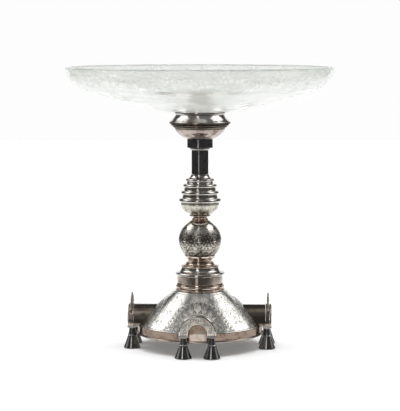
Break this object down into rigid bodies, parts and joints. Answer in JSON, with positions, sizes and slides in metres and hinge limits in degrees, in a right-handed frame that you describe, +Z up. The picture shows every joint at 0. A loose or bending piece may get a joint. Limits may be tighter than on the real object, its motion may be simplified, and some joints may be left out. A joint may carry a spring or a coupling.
{
  "type": "tazza",
  "caption": "Shallow engraved glass dish that lifts out of a turned silver-plated stem, on a conical foot with four arched projections.",
  "frame": {"origin": "middle of the eight feet, on the surface they stand on", "axes": "+Z up along the stem; the arches face -Y, +X, +Y and -X"},
  "size_m": [0.254, 0.254, 0.2655],
  "materials": {
    "glass": "clear, with an engraved band",
    "silver": "polished silver plate, lightly tarnished",
    "engraved_silver": "polished silver plate, engraved",
    "dark_silver": "polished silver plate, darkened",
    "worn_silver": "silver plate worn towards the copper",
    "cork": "matt cork",
    "steel": "dull steel"
  },
  "bodies": {
    "stand": {"cork_sleeve": "cork", "socket_lip": "silver", "socket_skirt": "silver", "socket_flange": "silver", "socket_bowl": "worn_silver", "upper_drum": "dark_silver", "drum_ring": "silver", "column_shaft": "dark_silver", "ringed_knop": "silver", "knop_cup": "engraved_silver", "knop_ring": "silver", "stem_neck": "worn_silver", "ball_knop": "engraved_silver", "ball_seat": "worn_silver", "stem_spreader": "silver", "waist_collar": "worn_silver", "waist_ring": "worn_silver", "cone_foot": "engraved_silver", "foot_band": "worn_silver", "foot_rim": "worn_silver", "tie_rod": "steel", "socket_nut": "steel", "socket_washer": "steel", "foot_nut": "steel", "foot_washer": "steel", "front_vault": "dark_silver", "front_archivolt": "silver", "front_arch_plate": "engraved_silver", "front_cresting": "silver", "front_pad_1": "silver", "front_foot_1": "dark_silver", "front_pad_2": "silver", "front_foot_2": "dark_silver", "right_vault": "dark_silver", "right_archivolt": "silver", "right_arch_plate": "engraved_silver", "right_cresting": "silver", "right_pad_1": "silver", "right_foot_1": "dark_silver", "right_pad_2": "silver", "right_foot_2": "dark_silver", "back_vault": "dark_silver", "back_archivolt": "silver", "back_arch_plate": "engraved_silver", "back_cresting": "silver", "back_pad_1": "silver", "back_foot_1": "dark_silver", "back_pad_2": "silver", "back_foot_2": "dark_silver", "left_vault": "dark_silver", "left_archivolt": "silver", "left_arch_plate": "engraved_silver", "left_cresting": "silver", "left_pad_1": "silver", "left_foot_1": "dark_silver", "left_pad_2": "silver", "left_foot_2": "dark_silver"},
    "dish": {"glass_dish": "glass"}
  },
  "joints": [
    {"name": "dish_lift", "type": "slide", "parent": "stand", "child": "dish", "axis": [0, 0, 1], "range_m": [0, 0.016]}
  ]
}
